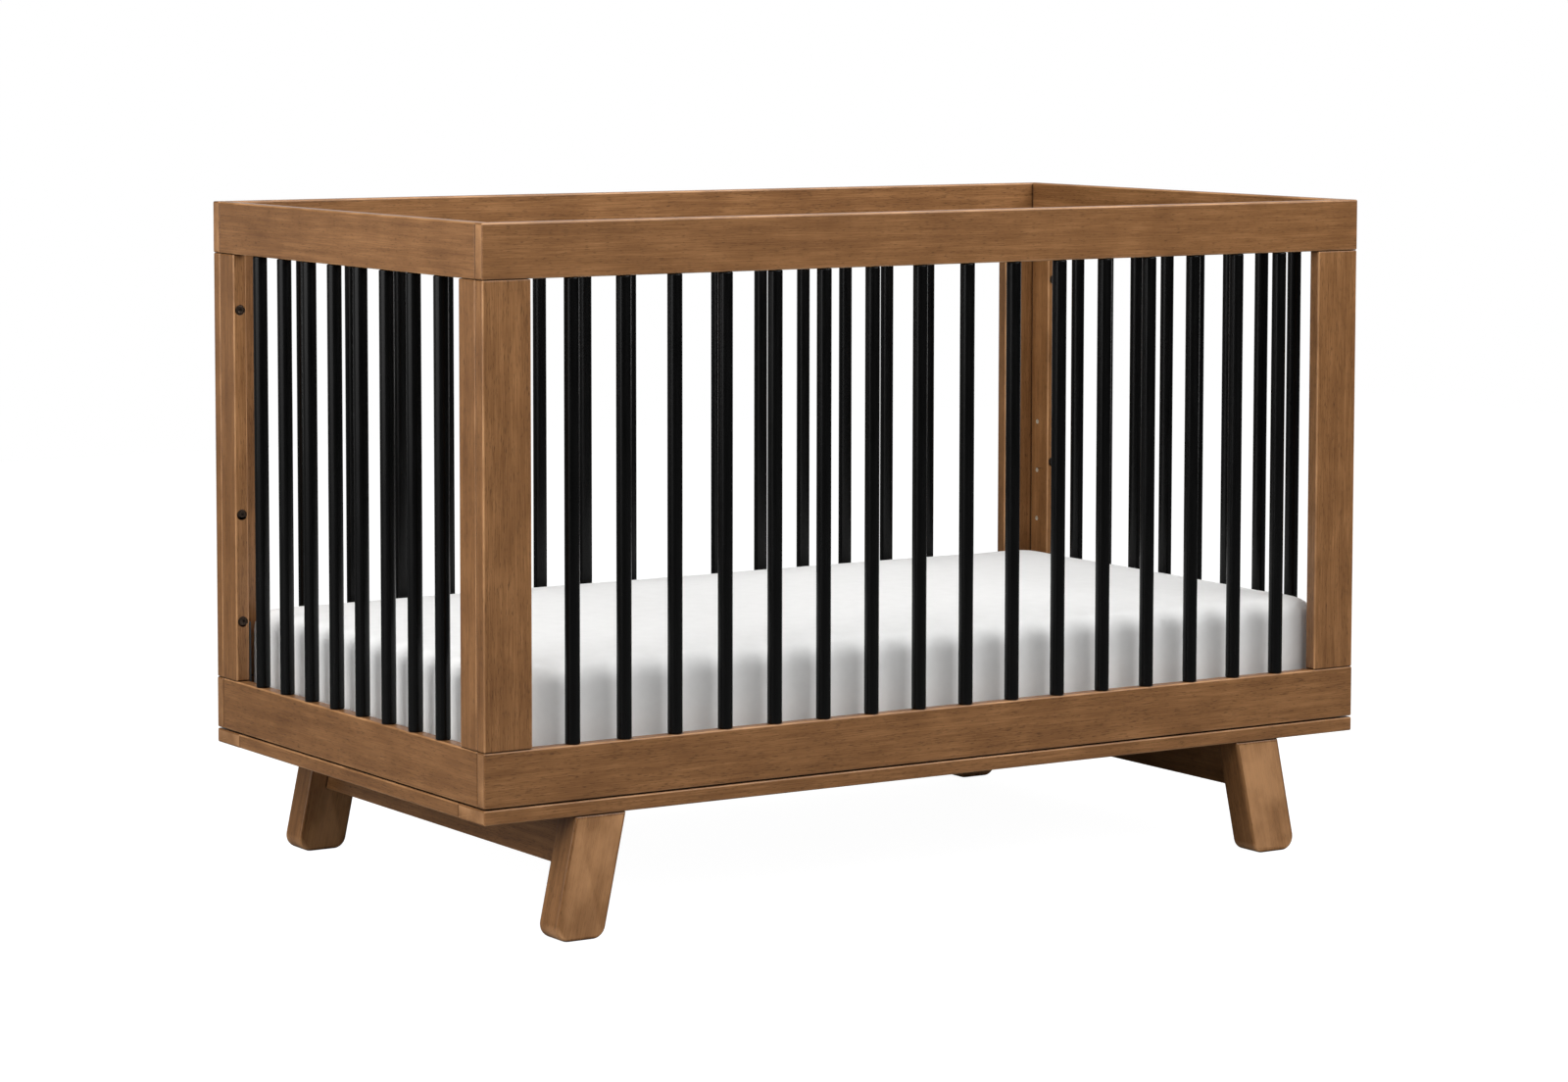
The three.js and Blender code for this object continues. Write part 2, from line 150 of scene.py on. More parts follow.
def walnutMaterial():
    # poplar boards, sanded, stained walnut and lacquered: soft blotches, fine straight grain, satin
    # film, a paler line on the eased edges, partly stain thinned by sanding and partly a painted
    # highlight, and painted shade in the seams
    material, tree, shader = newMaterial("walnut_stained_poplar")
    place = addNode(tree, "ShaderNodeAttribute", attribute_name="grain").outputs["Vector"]
    ease = addNode(tree, "ShaderNodeAttribute", attribute_name="ease").outputs["Fac"]
    toMm = addNode(tree, "ShaderNodeVectorMath", {0: place, 1: (1000, 1000, 1000)}, operation="MULTIPLY")

    def noise(width, lengthTimes, detail, roughness, distortion=0.0):
        scale = (1 / (width * lengthTimes), 1 / width, 1 / width)
        mapped = addNode(tree, "ShaderNodeMapping", {"Vector": toMm.outputs[0], "Scale": scale})
        return addNode(tree, "ShaderNodeTexNoise", {
            "Vector": mapped.outputs[0], "Scale": 1, "Detail": detail, "Roughness": roughness,
            "Distortion": distortion}).outputs["Fac"]

    def ranged(value, low, high, toLow, toHigh):
        return addNode(tree, "ShaderNodeMapRange", {
            "Value": value, "From Min": low, "From Max": high,
            "To Min": toLow, "To Max": toHigh}).outputs[0]

    def weigh(value, weight, rest):
        return addNode(tree, "ShaderNodeMath", {
            0: value, 1: weight, 2: rest}, operation="MULTIPLY_ADD").outputs[0]

    figure = noise(walnut["ringWidth"], 26, 3, 0.55, 0.2)
    fibre = noise(walnut["fibreWidth"], 40, 2, 0.55)
    blotch = noise(walnut["blotch"], 1.6, 4, 0.5)
    pore = noise(walnut["poreWidth"], 11, 1, 0.4)
    tone = weigh(figure, 0.28, weigh(fibre, 0.34, weigh(blotch, 0.26, 0.06)))
    ramp = addNode(tree, "ShaderNodeValToRGB", {"Fac": tone})
    setRamp(ramp, [(0.34, walnut["dark"]), (0.5, walnut["middle"]), (0.66, walnut["light"])])
    # pores show most where the figure runs dark
    crowd = ranged(figure, 0.62, 0.4, 0.0, 0.045)
    poreLevel = addNode(tree, "ShaderNodeMath", {0: pore, 1: crowd}, operation="ADD").outputs[0]
    poreMask = ranged(poreLevel, 0.64, 0.73, 0.0, 0.5)
    withPores = addNode(tree, "ShaderNodeMix", {
        "Factor": poreMask, 6: ramp.outputs[0], 7: colour(walnut["pore"])}, data_type="RGBA")
    # painted highlight: the pale edge colour stands partly for stain thinned by sanding and partly for the
    # lacquer's highlight along the eased edges
    rubbedAndHighlit = addNode(tree, "ShaderNodeMath", {
        0: ease, 1: ranged(blotch, 0.4, 0.62, 0.25, 0.65)}, operation="MULTIPLY").outputs[0]
    withEdges = addNode(tree, "ShaderNodeMix", {
        "Factor": rubbedAndHighlit, 6: withPores.outputs[2], 7: colour(walnut["rubbedAndHighlit"])}, data_type="RGBA")
    # painted shade: an occlusion node darkens the colour where boards meet, standing in for the shadow in the
    # seams
    crevice = addNode(tree, "ShaderNodeAmbientOcclusion", {"Distance": 0.004}, samples=6).outputs["AO"]
    withSeamShade = addNode(tree, "ShaderNodeMix", {
        "Factor": ranged(crevice, 0.35, 0.9, 0.95, 0.0), 6: withEdges.outputs[2],
        7: colour(walnut["seamShade"])}, data_type="RGBA")
    tree.links.new(withSeamShade.outputs[2], shader.inputs["Base Color"])
    tree.links.new(ranged(fibre, 0.3, 0.7, 0.38, 0.5), shader.inputs["Roughness"])
    bump = addNode(tree, "ShaderNodeBump", {
        "Height": weigh(poreMask, -0.8, fibre), "Strength": 0.12, "Distance": 0.0006})
    tree.links.new(bump.outputs[0], shader.inputs["Normal"])
    shader.inputs["IOR"].default_value = 1.5
    shader.inputs["Specular IOR Level"].default_value = 0.2
    shader.inputs["Coat Weight"].default_value = 0.3
    shader.inputs["Coat Roughness"].default_value = 0.2
    return material


def blackPaintMaterial():
    # turned wood under satin black paint: near-black, soft gloss, faint length-wise brush and grain marks
    material, tree, shader = newMaterial("satin_black_paint_on_turned_wood")
    place = addNode(tree, "ShaderNodeTexCoord").outputs["Object"]
    along = addNode(tree, "ShaderNodeMapping", {"Vector": place, "Scale": (160, 160, 12)}).outputs[0]
    marks = addNode(tree, "ShaderNodeTexNoise", {"Vector": along, "Scale": 1, "Detail": 3, "Roughness": 0.5})
    ramp = addNode(tree, "ShaderNodeValToRGB", {"Fac": marks.outputs["Fac"]})
    setRamp(ramp, [(0.3, "#040404"), (0.7, "#080808")])
    tree.links.new(ramp.outputs[0], shader.inputs["Base Color"])
    roughness = addNode(tree, "ShaderNodeMapRange", {
        "Value": marks.outputs["Fac"], "From Min": 0.3, "From Max": 0.7, "To Min": 0.24, "To Max": 0.28})
    tree.links.new(roughness.outputs[0], shader.inputs["Roughness"])
    bump = addNode(tree, "ShaderNodeBump", {
        "Height": marks.outputs["Fac"], "Strength": 0.015, "Distance": 0.0003})
    tree.links.new(bump.outputs[0], shader.inputs["Normal"])
    shader.inputs["IOR"].default_value = 1.5
    shader.inputs["Specular IOR Level"].default_value = 0.2  # a thin rubbed coat
    return material


def metalMaterial(name, base, darker, rough, grainSize, metallic=0.9):
    # plated steel: fine uneven gloss and colour
    material, tree, shader = newMaterial(name)
    place = addNode(tree, "ShaderNodeTexCoord").outputs["Object"]
    speck = addNode(tree, "ShaderNodeTexNoise", {
        "Vector": place, "Scale": 1000 / grainSize, "Detail": 4, "Roughness": 0.6})
    ramp = addNode(tree, "ShaderNodeValToRGB", {"Fac": speck.outputs["Fac"]})
    setRamp(ramp, [(0.3, darker), (0.7, base)])
    tree.links.new(ramp.outputs[0], shader.inputs["Base Color"])
    roughness = addNode(tree, "ShaderNodeMapRange", {
        "Value": speck.outputs["Fac"], "From Min": 0.3, "From Max": 0.7,
        "To Min": rough - 0.06, "To Max": rough + 0.06})
    tree.links.new(roughness.outputs[0], shader.inputs["Roughness"])
    bump = addNode(tree, "ShaderNodeBump", {
        "Height": speck.outputs["Fac"], "Strength": 0.1, "Distance": 0.0002})
    tree.links.new(bump.outputs[0], shader.inputs["Normal"])
    shader.inputs["Metallic"].default_value = metallic
    return material


def powderCoatMaterial():
    # powder-coated steel: black, with the fine orange peel of a baked coat
    material, tree, shader = newMaterial("black_powder_coated_steel")
    place = addNode(tree, "ShaderNodeTexCoord").outputs["Object"]
    peel = addNode(tree, "ShaderNodeTexNoise", {"Vector": place, "Scale": 650, "Detail": 2, "Roughness": 0.5})
    ramp = addNode(tree, "ShaderNodeValToRGB", {"Fac": peel.outputs["Fac"]})
    setRamp(ramp, [(0.3, "#131313"), (0.7, "#1b1b1c")])
    tree.links.new(ramp.outputs[0], shader.inputs["Base Color"])
    bump = addNode(tree, "ShaderNodeBump", {
        "Height": peel.outputs["Fac"], "Strength": 0.25, "Distance": 0.0003})
    tree.links.new(bump.outputs[0], shader.inputs["Normal"])
    shader.inputs["Roughness"].default_value = 0.5
    return material


def clothMaterial(name, light, shade, thread, bumpStrength):
    # plain woven cotton: two crossed sets of threads, read from the cloth's own flat coordinates
    material, tree, shader = newMaterial(name)
    flat = addNode(tree, "ShaderNodeUVMap", uv_map="cloth").outputs[0]
    toMm = addNode(tree, "ShaderNodeVectorMath", {0: flat, 1: (1000, 1000, 1000)}, operation="MULTIPLY")
    waves = [
        addNode(tree, "ShaderNodeTexWave", {
            "Vector": toMm.outputs[0], "Scale": math.tau / thread / 20, "Distortion": 0.6, "Detail": 1,
            "Detail Scale": 2}, wave_type="BANDS", bands_direction=direction, wave_profile="SIN")
        for direction in ("X", "Y")]
    weave = addNode(tree, "ShaderNodeMath", {
        0: waves[0].outputs["Fac"], 1: waves[1].outputs["Fac"]}, operation="MULTIPLY")
    slub = addNode(tree, "ShaderNodeTexNoise", {
        "Vector": toMm.outputs[0], "Scale": 0.05, "Detail": 4, "Roughness": 0.6})
    blend = addNode(tree, "ShaderNodeMath", {
        0: weave.outputs[0], 1: 0.35, 2: slub.outputs["Fac"]}, operation="MULTIPLY_ADD")
    ramp = addNode(tree, "ShaderNodeValToRGB", {"Fac": blend.outputs[0]})
    setRamp(ramp, [(0.35, shade), (0.85, light)])
    tree.links.new(ramp.outputs[0], shader.inputs["Base Color"])
    bump = addNode(tree, "ShaderNodeBump", {
        "Height": weave.outputs[0], "Strength": bumpStrength, "Distance": 0.0003})
    tree.links.new(bump.outputs[0], shader.inputs["Normal"])
    shader.inputs["Roughness"].default_value = 0.92
    shader.inputs["Specular IOR Level"].default_value = 0.25
    shader.inputs["Sheen Weight"].default_value = 0.15
    shader.inputs["Sheen Roughness"].default_value = 0.5
    return material


walnutWood = walnutMaterial()
blackPaint = blackPaintMaterial()
bronzeSteel = metalMaterial("bronze_plated_bolt_steel", "#4a3d33", "#2c241e", 0.38, 1.5)
zincSteel = metalMaterial("dull_zinc_plated_threaded_insert", "#e2dccb", "#bdb5a2", 0.5, 1.5, 0.3)
powderCoat = powderCoatMaterial()
percale = clothMaterial("white_cotton_percale_sheet", "#f4f4f3", "#eeeeed", 1.4, 0.12)
ticking = clothMaterial("woven_mattress_cover", "#e9e7e1", "#dcd9d1", 2.4, 0.3)
print("materials made")


board = {"edge": 2.5, "end": 1.7, "arcSteps": 4, "support": 0.6, "grainRoom": 4000}


def outline(corners, radii, inset, arcSteps):
    # convex outline, counter-clockwise: each corner becomes an arc, centre + r (cos a, sin a), that
    # touches its two sides, with one more point just past each end of the arc to keep the sides flat
    corners, radii = np.asarray(corners, float), np.asarray(radii, float)
    ahead = np.roll(corners, -1, 0) - corners
    ahead /= np.linalg.norm(ahead, axis=1)[:, None]
    before = np.roll(ahead, 1, 0)
    inAhead = np.stack([-ahead[:, 1], ahead[:, 0]], 1)
    inBefore = np.stack([-before[:, 1], before[:, 0]], 1)
    toCentre = (inAhead + inBefore) / (1 + (inAhead * inBefore).sum(1))[:, None]
    r = np.maximum(radii - inset, 0.05)
    centre = corners + toCentre * (inset + r)[:, None]
    turn = np.arccos(np.clip((ahead * before).sum(1), -1, 1))
    start = np.arctan2(-inBefore[:, 1], -inBefore[:, 0])
    a = start[:, None] + turn[:, None] * np.linspace(0, 1, arcSteps + 1)
    arc = centre[:, None] + r[:, None, None] * np.stack([np.cos(a), np.sin(a)], -1)
    past = board["support"]
    return np.concatenate([
        arc[:, :1] - before[:, None] * past, arc, arc[:, -1:] + ahead[:, None] * past], 1).reshape(-1, 2)


def stations(start, stop, radius, extra=()):
    # (place, inset) pairs along a board: a quarter circle eases each end
    a = np.linspace(math.pi / 2, 0, board["arcSteps"] + 1)
    inset, rise = radius * (1 - np.cos(a)), radius * (1 - np.sin(a))
    flat, past = radius + board["support"], board["support"]
    head = [(start, flat), *zip(start + rise, inset), (start + radius + past, 0)]
    tail = [(stop - (place - start), i) for place, i in reversed(head)]
    return head + [(place, 0) for place in extra] + tail


axisOrder = {"x": (2, 0, 1), "y": (1, 2, 0), "z": (0, 1, 2)}  # from (across, across, along) to (x, y, z)


def easing(arcSteps):
    # 0 on the flats, and sin(pi t) round an arc, t from 0 to 1
    return np.concatenate([[0], np.sin(math.pi * np.linspace(0, 1, arcSteps + 1)), [0]])


def boardShell(shape, corners, radii, start, stop, along, extra=(), endRadius=None, seed=0, slope=0.0,
               arcSteps=4):
    # the outline carried along an axis, with its inset given at each station
    steps = stations(start, stop, board["end"] if endRadius is None else endRadius, extra)
    sections = np.stack([outline(corners, radii, inset, arcSteps) for _, inset in steps])
    ease = np.tile(easing(arcSteps), (len(steps), len(corners)))
    run = np.broadcast_to(np.array([place for place, _ in steps])[:, None, None], (*sections.shape[:2], 1))
    local = np.concatenate([sections, run], -1)
    shift = np.random.default_rng(seed).uniform(-board["grainRoom"], board["grainRoom"], 3)
    grain = local[..., [2, 0, 1]] + shift
    if slope:
        # a leg's grain follows its slope, which lies in the outline's own plane
        across, up = local[..., 1], local[..., 0]
        grain = np.stack([up * math.cos(slope) - across * math.sin(slope),
                          across * math.cos(slope) + up * math.sin(slope), local[..., 2]], -1) + shift
    shape.loft(local[..., list(axisOrder[along])] * mm, grain * mm, ease)


def rectangle(lowA, highA, lowB, highB):
    # corners counter-clockwise
    return [(lowA, lowB), (highA, lowB), (highA, highB), (lowA, highB)]


def nodeBox(node):
    # a CAD node's lowest and highest corner, in mm
    low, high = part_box(node)
    return np.array(low) / mm, np.array(high) / mm


def addBoard(node, along, seed):
    # a straight board that fills its node's box, with its grain along the given axis
    low, high = nodeBox(node)
    run = "xyz".index(along)
    a, b = [(1, 2), (2, 0), (0, 1)][run]
    shape = Shape()
    corners = rectangle(low[a], high[a], low[b], high[b])
    boardShell(shape, corners, [board["edge"]] * 4, low[run], high[run], along, seed=seed)
    return shape.piece(node + "_board", walnutWood, replaces=[node])


def drill(shape, centre, normal, profile, sides=24):
    # swaps the flat face around the centre for one with a round hole: rings of the given radii and
    # depths run down into the wood, and a flat floor closes them
    points = np.concatenate(shape.points) / mm
    n = np.asarray(normal, float)
    axis = int(np.argmax(np.abs(n)))
    u, v = (axis + 1) % 3, (axis + 2) % 3
    if n[axis] < 0:
        u, v = v, u
    quads = [i for i, face in enumerate(shape.faces) if len(face) == 4]
    corners = points[np.array([shape.faces[i] for i in quads])]
    low, high = corners.min(1), corners.max(1)
    flat = (high - low)[:, axis] < 1e-6
    level = np.abs(low[:, axis] - centre[axis]) < 0.01
    insideU = (low[:, u] < centre[u]) & (high[:, u] > centre[u])
    insideV = (low[:, v] < centre[v]) & (high[:, v] > centre[v])
    found = np.nonzero(flat & level & insideU & insideV)[0][0]
    face = shape.faces.pop(quads[found])
    a = np.arange(sides) * math.tau / sides
    wall = np.zeros((len(profile), sides, 3))
    wall[..., axis] = centre[axis] - np.sign(n[axis]) * np.array([depth for _, depth in profile])[:, None]
    for j, (radius, _) in enumerate(profile):
        wall[j, :, u] = centre[u] + radius * np.cos(a)
        wall[j, :, v] = centre[v] + radius * np.sin(a)
    first = shape.count
    shift = np.concatenate(shape.grain)[face[0]] - points[face[0]][[2, 0, 1]] * mm
    last = np.arange(sides) + (len(profile) - 1) * sides
    shape.add(wall * mm, [*rings(len(profile), sides), last], wall[..., [2, 0, 1]] * mm + shift)
    offset = points[face][:, [u, v]] - np.asarray(centre)[[u, v]]
    at = np.round(np.arctan2(offset[:, 1], offset[:, 0]) / math.tau * sides).astype(int) % sides
    for k in range(4):
        here, there = at[k], at[(k + 1) % 4]
        arc = [(here + s) % sides for s in range((there - here) % sides + 1)]
        shape.faces.append([face[k], face[(k + 1) % 4], *[first + i for i in reversed(arc)]])


seed = 10
for side in (*sides, *ends):
    along = "x" if side in sides else "y"
    for kind in ("top_rail", "bottom_rail"):
        seed += 1
        addBoard(f"{side}_{kind}", along, seed)
    seed += 1
    addBoard(f"base_{side}_board", along, seed)
for side in sides:
    for end in ends:
        seed += 1
        addBoard(f"{side}_{end}_post", "z", seed)
print("rails, base boards and posts made")

stile = {"level": 3.35, "levelPitch": 73.4, "levelDepth": 14, "head": 6.85, "headDepth": 3.9,
         "chamfer": 0.5, "cell": 11}
for side, sy in sides.items():
    for end, sx in ends.items():
        seed += 1
        node = f"{end}_{side}_stile"
        low, high = nodeBox(node)
        shape = Shape()
        bolts = [nodeBox(f"corner_bolt_{side}_{end}_{level}") for level in ("bottom", "middle", "top")]
        boltHeights = [(b[0][2] + b[1][2]) / 2 for b in bolts]
        first = nodeBox(f"support_bolt_{side}_{end}")
        levelY = (first[0][1] + first[1][1]) / 2
        levelHeights = [(first[0][2] + first[1][2]) / 2 + stile["levelPitch"] * i for i in range(4)]
        cuts = sorted(z + d for z in boltHeights + levelHeights for d in (-stile["cell"], stile["cell"]))
        boardShell(shape, rectangle(low[0], high[0], low[1], high[1]), [board["edge"]] * 4,
                   low[2], high[2], "z", extra=cuts, seed=seed)
        innerX = low[0] if sx > 0 else high[0]
        innerY = low[1] if sy > 0 else high[1]
        c, r = stile["chamfer"], stile["level"]
        for z in levelHeights:
            drill(shape, (innerX, levelY, z), (-sx, 0, 0), [(r + c, 0), (r, c), (r, stile["levelDepth"])])
        r = stile["head"]
        for z in boltHeights:
            drill(shape, ((low[0] + high[0]) / 2, innerY, z), (0, -sy, 0),
                  [(r + c, 0), (r, c), (r, stile["headDepth"])])
        shape.piece(node + "_board", walnutWood, replaces=[node])
print("stiles made and drilled")

leg = {"corner": 18, "topEdge": 1.2, "faceEdge": 3.0, "splay": math.radians(12), "width": 70.5,
       "arcSteps": 8, "stretcherTopEdge": 1.5}
for side, sy in sides.items():
    for end, sx in ends.items():
        seed += 1
        node = f"{side}_{end}_leg"
        low, high = nodeBox(node)
        lean, slant = math.tan(leg["splay"]), leg["width"] / math.cos(leg["splay"])
        inner = low[0] if sx > 0 else high[0]  # the top inner corner is the innermost point
        top = high[2]
        topOuter, footOuter = inner + sx * slant, inner + sx * (slant + top * lean)
        footInner = inner + sx * top * lean
        # the outline lies in (z, x), counter-clockwise for a run along +y
        quad = [(top, inner), (top, topOuter), (0, footOuter), (0, footInner)]
        radii = [leg["topEdge"], leg["topEdge"], leg["corner"], leg["corner"]]
        if sx < 0:
            quad, radii = quad[::-1], radii[::-1]
        shape = Shape()
        boardShell(shape, quad, radii, low[1], high[1], "y", endRadius=leg["faceEdge"], seed=seed,
                   slope=sx * leg["splay"], arcSteps=leg["arcSteps"])
        shape.piece(node + "_board", walnutWood, replaces=[node])
for end, sx in ends.items():
    seed += 1
    node = f"{end}_stretcher"
    low, high = nodeBox(node)
    lean, slant = math.tan(leg["splay"]), (high[2] - low[2]) * math.tan(leg["splay"])
    inner, outer = (low[0], high[0]) if sx > 0 else (high[0], low[0])
    quad = [(high[2], inner), (high[2], outer - sx * slant), (low[2], outer), (low[2], inner + sx * slant)]
    if sx < 0:
        quad = quad[::-1]
    shape = Shape()
    radii = [leg["stretcherTopEdge"]] * 2 + [board["edge"]] * 2
    boardShell(shape, quad, radii, low[1], high[1], "y", seed=seed)
    shape.piece(node + "_board", walnutWood, replaces=[node])
print("legs and stretchers made")

spindle = {"radius": 9.5, "gap": 0.3, "ease": 1.2, "around": 40, "endMargin": 61.5, "maxPitch": 74.5}


def spindlePlaces(opening):
    # evenly spread about zero, with the fewest gaps that keep the pitch under its limit
    span = opening - 2 * spindle["endMargin"]
    gaps = math.ceil(span / spindle["maxPitch"])
    return np.linspace(-span / 2, span / 2, gaps + 1)


def addSpindles(node, centres, low, high):
    # turned rod: circle of radius r(z), eased at both ends by a quarter circle
    a = np.arange(spindle["around"]) * math.tau / spindle["around"]
    steps = [(z, spindle["radius"] - inset) for z, inset in stations(low, high, spindle["ease"])]
    z = np.array([s[0] for s in steps])
    r = np.array([s[1] for s in steps])
    shape = Shape()
    for x, y in centres:
        rod = np.stack(np.broadcast_arrays(
            x + r[:, None] * np.cos(a), y + r[:, None] * np.sin(a), z[:, None]), -1)
        shape.loft(rod * mm)
    return shape.piece(node + "_turned", blackPaint, replaces=[node])


for side in (*sides, *ends):
    rail, lower = nodeBox(f"{side}_top_rail"), nodeBox(f"{side}_bottom_rail")
    lowZ, highZ = lower[1][2] + spindle["gap"], rail[0][2] - spindle["gap"]
    if side in sides:
        post = nodeBox(f"{side}_left_post")[1][0]
        y = (rail[0][1] + rail[1][1]) / 2
        places = spindlePlaces(-2 * post)
        half = len(places) // 2
        sets = {f"{side}_spindles_left": places[:half], f"{side}_spindles_right": places[half:]}
        for node, members in sets.items():
            addSpindles(node, [(x, y) for x in members], lowZ, highZ)
    else:
        stileEdge = nodeBox(f"{side}_front_stile")[1][1]
        x = (rail[0][0] + rail[1][0]) / 2
        addSpindles(f"{side}_spindles", [(x, y) for y in spindlePlaces(-2 * stileEdge)], lowZ, highZ)
print("spindles made")

bolt = {"head": 6.5, "headHeight": 3.4, "shank": 3.0, "socket": 2.9, "socketDepth": 2.0, "rim": 0.8,
        "footChamfer": 0.6, "headChamfer": 0.3, "lip": 0.5, "flat": 1.2, "drillPoint": 0.3, "around": 36}


def addBolt(node, axis, sign):
    # rings up the shank, out over the head and down into the hex socket, where the ring's radius is
    # socket / cos(angle to the nearest flat)
    low, high = nodeBox(node)
    middle = (low + high) / 2
    a = np.arange(bolt["around"]) * math.tau / bolt["around"]
    hexagon = math.cos(math.pi / 6) / np.cos((a % (math.pi / 3)) - math.pi / 6)
    top = high[axis] if sign > 0 else -low[axis]
    foot = low[axis] if sign > 0 else -high[axis]
    seat, rim = top - bolt["headHeight"], bolt["rim"]
    t = np.linspace(0, math.pi / 2, 5)
    dome = [(bolt["head"] - rim + rim * math.cos(s), top - rim + rim * math.sin(s), 0) for s in t]
    shank, head, socket, lip = bolt["shank"], bolt["head"], bolt["socket"], bolt["lip"]
    footEdge, headEdge, floor = bolt["footChamfer"], bolt["headChamfer"], top - bolt["socketDepth"]
    # (radius, height, how far the ring is a hexagon)
    steps = [(shank - footEdge, foot, 0), (shank, foot + footEdge, 0), (shank, seat, 0),
             (head - headEdge, seat, 0), (head, seat + headEdge, 0), *dome,
             (socket + bolt["flat"], top, 0), (socket + lip, top, 0.3),
             (socket + lip * 0.3, top - lip / 2, 1), (socket, top - lip, 1),
             (socket, floor, 1), (socket / 2, floor - bolt["drillPoint"], 1)]
    r = np.stack([radius * (hexagon * share + 1 - share) for radius, _, share in steps])
    height = np.array([h for _, h, _ in steps])[:, None] + 0 * a
    u, v = (axis + 1) % 3, (axis + 2) % 3
    points = np.zeros((*r.shape, 3))
    points[..., axis] = height * sign
    points[..., u] = middle[u] + r * np.cos(a)
    points[..., v] = middle[v] + r * np.sin(a) * sign
    shape = Shape()
    shape.loft(points * mm)
    return shape.piece(node + "_turned", bronzeSteel, replaces=[node], sharp=30)


for side, sy in sides.items():
    for end, sx in ends.items():
        for level in ("bottom", "middle", "top"):
            addBolt(f"corner_bolt_{side}_{end}_{level}", 1, -sy)
        addBolt(f"support_bolt_{side}_{end}", 0, -sx)
        addBolt(f"leg_bolt_{side}_{end}", 2, 1)

insert = {"outer": 3.3, "inner": 1.9, "recess": 0.35, "depth": 9, "around": 24}
shape = Shape()
for side, sy in sides.items():
    for end, sx in ends.items():
        low, high = nodeBox(f"support_bolt_{side}_{end}")
        y, z = (low[1] + high[1]) / 2, (low[2] + high[2]) / 2
        stileBox = nodeBox(f"{end}_{side}_stile")
        face = stileBox[0][0] if sx > 0 else stileBox[1][0]
        a = np.arange(insert["around"]) * math.tau / insert["around"]
        for i in (1, 2, 3):
            # a short tube: its square section goes once round the hole's axis
            section = [(insert["inner"], insert["recess"]), (insert["outer"], insert["recess"]),
                       (insert["outer"], insert["depth"]), (insert["inner"], insert["depth"])]
            tube = np.zeros((4, insert["around"], 3))
            for j, (radius, depth) in enumerate(section):
                tube[j, :, 0] = face + sx * depth
                tube[j, :, 1] = y + radius * np.cos(a) * -sx
                tube[j, :, 2] = z + stile["levelPitch"] * i + radius * np.sin(a)
            quads = rings(4, insert["around"], loopBack=True)
            shape.add(tube * mm, [q for q in quads[:, ::-1]])
shape.piece("level_inserts", zincSteel)
print("bolts and inserts made")

support = {"wire": 2.0, "barEdge": 1.0, "barEnd": 0.8, "bar": 12, "barLap": 0.5, "lapEdge": 0.2,
           "maxPitch": 135, "wireLap": 2, "wireDrop": 0.1, "weldDepth": 0.5, "around": 12}


def addRod(shape, start, stop, radius, around):
    # straight round wire between two points along one axis
    start, stop = np.asarray(start, float), np.asarray(stop, float)
    axis = int(np.argmax(np.abs(stop - start)))
    u, v = (axis + 1) % 3, (axis + 2) % 3
    a = np.arange(around) * math.tau / around
    ring = np.zeros((2, around, 3))
    ring[..., axis] = np.array([start[axis], stop[axis]])[:, None]
    ring[..., u] = start[u] + radius * np.cos(a)
    ring[..., v] = start[v] + radius * np.sin(a)
    shape.loft(ring * mm)


low, high = nodeBox("mattress_support")
shape = Shape()
w, r = support["bar"], support["barEdge"]
for lowY, highY in ((low[1], low[1] + w), (high[1] - w, high[1])):
    boardShell(shape, rectangle(lowY, highY, low[2], high[2]), [r] * 4, low[0], high[0], "x",
               endRadius=support["barEnd"])
for lowX, highX in ((low[0], low[0] + w), (high[0] - w, high[0])):
    boardShell(shape, rectangle(low[2], high[2], lowX, highX), [r] * 4,
               low[1] + w - support["barLap"], high[1] - w + support["barLap"], "y",
               endRadius=support["lapEdge"])


def wirePlaces(low, high):
    # evenly spread between two bars, with the fewest gaps that keep the pitch under its limit
    count = math.ceil((high - low) / support["maxPitch"])
    return np.linspace(low, high, count + 1)[1:-1]


top, lap = high[2] - support["wireDrop"], support["wireLap"]
for x in wirePlaces(low[0] + w, high[0] - w):
    z = top - support["wire"]
    addRod(shape, (x, low[1] + w - lap, z), (x, high[1] - w + lap, z), support["wire"], support["around"])
for y in wirePlaces(low[1] + w, high[1] - w):
    z = top - 3 * support["wire"] + support["weldDepth"]
    addRod(shape, (low[0] + w - lap, y, z), (high[0] - w + lap, y, z), support["wire"], support["around"])
shape.piece("mattress_support_grid", powderCoat, "mattress_support", ["mattress_support"])
for side in sides:
    for end in ends:
        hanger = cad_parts[f"hanger_{side}_{end}"]
        hanger.data.materials.clear()
        hanger.data.materials.append(powderCoat)
print("mattress support made")

mattress = {"inset": 1, "topRise": 4, "corner": 16, "edge": 21, "core": 120, "tuck": 70,
            "centreStep": 20, "rimStep": 9, "crown": 11, "pressure": 4, "frames": 20, "cap": 5, "clear": 0.2}
sheet = {"offset": 0.55, "thickness": 0.9}
hemTube = {"radius": 2.2, "share": 0.55, "ripple": 0.12, "rippleStep": 2.4, "wide": 1.6, "high": 0.55,
           "around": 10, "drop": 1.7}
low, high = nodeBox("mattress")
halfX, halfY = (high[0] - low[0]) / 2, (high[1] - low[1]) / 2
bottomZ, topZ = low[2], high[2]


def rimLength(inset, drop):
    # arc length of the section from the core's edge over the rim and down to the hem
    flatTop = mattress["core"] - mattress["edge"]
    return flatTop + math.pi * mattress["edge"] + (drop - 2 * mattress["edge"]) + inset - mattress["edge"]


